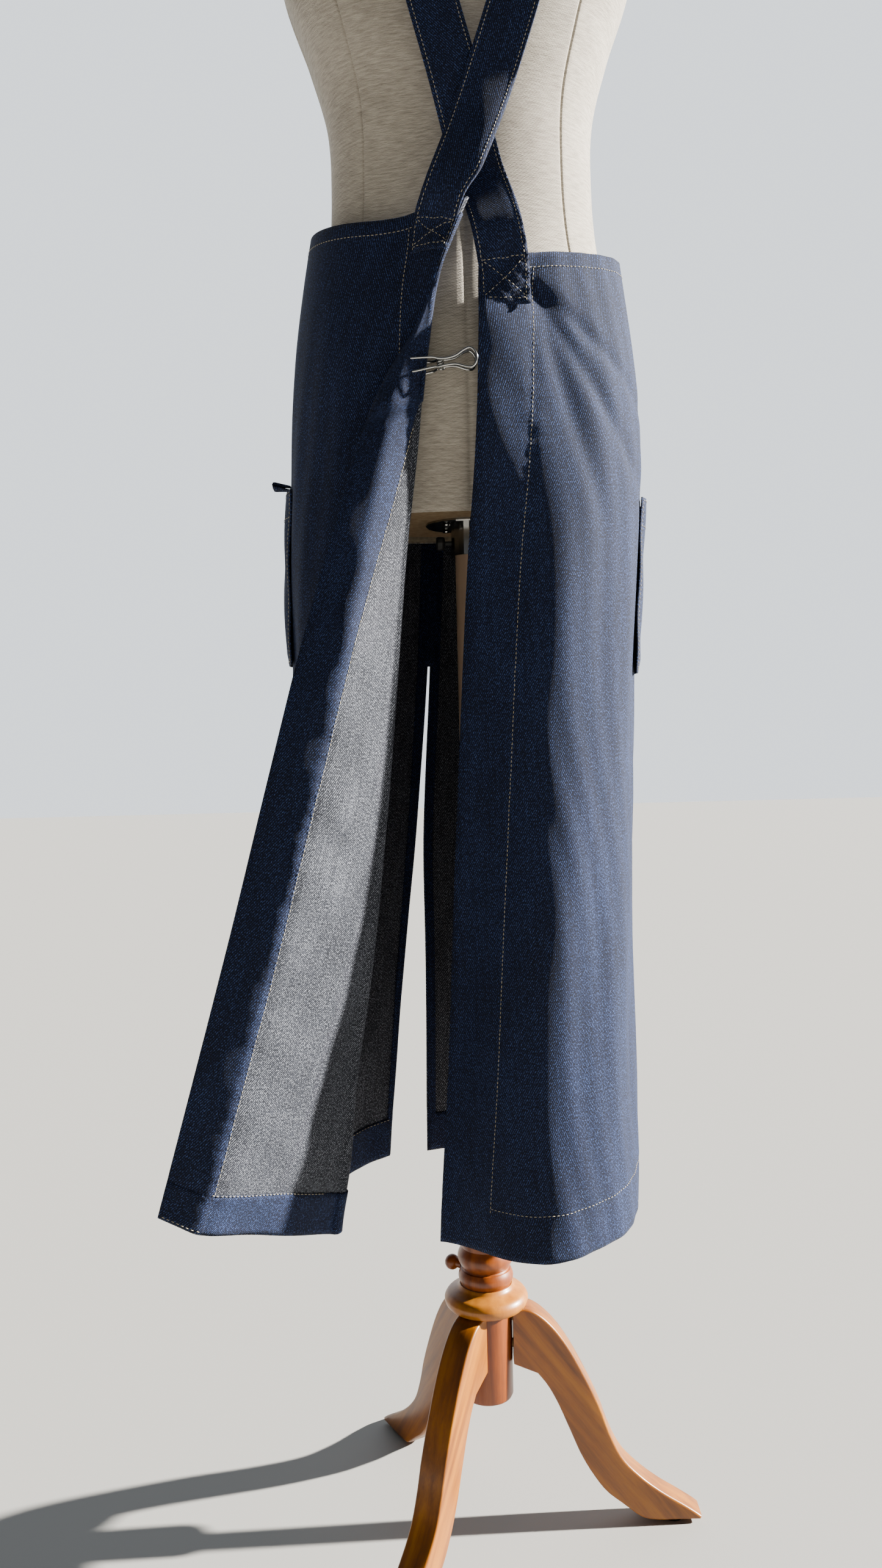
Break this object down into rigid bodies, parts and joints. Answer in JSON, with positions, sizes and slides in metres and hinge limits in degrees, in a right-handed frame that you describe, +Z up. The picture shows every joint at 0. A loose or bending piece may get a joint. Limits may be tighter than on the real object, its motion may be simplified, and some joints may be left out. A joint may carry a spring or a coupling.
{
  "type": "apron on dress form stand",
  "caption": "Long cross-back split-leg denim apron, one back edge turned out and clipped, hung on a linen dress form with a turned wooden tripod stand.",
  "frame": {"origin": "on the floor, under the centre of the model's box", "axes": "+Z up; the dress form faces +Y, so the apron's back faces -Y; +X is the wearer's right"},
  "size_m": [0.4428, 0.3766, 1.6891],
  "materials": {
    "varnished_wood": "orange-brown gloss varnish",
    "pale_wood": "paler varnish",
    "raw_wood": "unfinished beech",
    "plywood": "raw plywood",
    "felt": "pressed felt",
    "brass": "machined",
    "steel": "bright drawn steel",
    "plastic": "moulded black",
    "papier_mache": "pressed pulp shell",
    "linen": "natural linen twill",
    "denim": "raw indigo denim, pale grey inside, cream topstitching"
  },
  "bodies": {
    "stand": {"stand_column": "varnished_wood", "column_flange": "pale_wood", "clamp_insert": "brass", "leg_right": "varnished_wood", "leg_rear": "varnished_wood", "leg_front": "varnished_wood", "foot_pad_right": "felt", "foot_pad_rear": "felt", "foot_pad_front": "felt", "dowel_right_lower": "raw_wood", "dowel_right_upper": "raw_wood", "dowel_rear_lower": "raw_wood", "dowel_rear_upper": "raw_wood", "dowel_front_lower": "raw_wood", "dowel_front_upper": "raw_wood"},
    "clamp_knob": {"clamp_knob": "varnished_wood"},
    "pole": {"pole": "steel", "pole_cap": "plastic"},
    "torso": {"body_shell": "papier_mache", "base_board": "plywood", "pole_socket": "steel", "socket_screw_1": "steel", "socket_screw_2": "steel", "socket_screw_3": "steel", "socket_screw_4": "steel", "cover_side_front_right": "linen", "cover_front_right": "linen", "cover_front_left": "linen", "cover_side_front_left": "linen", "cover_side_back_left": "linen", "cover_back_left": "linen", "cover_back_right": "linen", "cover_side_back_right": "linen", "arm_plate_left": "linen", "arm_plate_right": "linen", "neck_cap": "varnished_wood", "neck_finial": "varnished_wood", "left_wrap": "denim", "left_turnback": "denim", "right_wrap": "denim", "bib": "denim", "bib_hem": "denim", "strap_lower": "denim", "strap_upper": "denim", "pocket_left": "denim", "pocket_right": "denim", "side_loop": "denim", "clip_inner_arm": "steel", "clip_spring": "steel"},
    "turn_screw": {"turn_screw": "plastic"},
    "clip_arm": {"clip_outer_arm": "steel"}
  },
  "joints": [
    {"name": "height_slide", "type": "slide", "parent": "stand", "child": "pole", "axis": [0, 0, 1], "range_m": [-0.045, 0.045]},
    {"name": "torso_turn", "type": "hinge", "parent": "pole", "child": "torso", "pos_m": [0.0289, 0.0153, 0.93], "axis": [0, 0, 1], "continuous": true},
    {"name": "clamp_knob_turn", "type": "hinge", "parent": "stand", "child": "clamp_knob", "pos_m": [0.00292, 0.0303, 0.237], "axis": [-0.866, 0.5, 0], "range_deg": [0, 720]},
    {"name": "turn_screw_turn", "type": "hinge", "parent": "torso", "child": "turn_screw", "pos_m": [0.0089, 0.0153, 0.8955], "axis": [-1, 0, 0], "range_deg": [0, 720]},
    {"name": "clip_open", "type": "hinge", "parent": "torso", "child": "clip_arm", "pos_m": [0.0064, -0.1041, 1.019], "axis": [0, 0, 1], "range_deg": [0, 11], "stiffness_Nm_per_rad": 0.02, "springref_deg": -34.38}
  ]
}
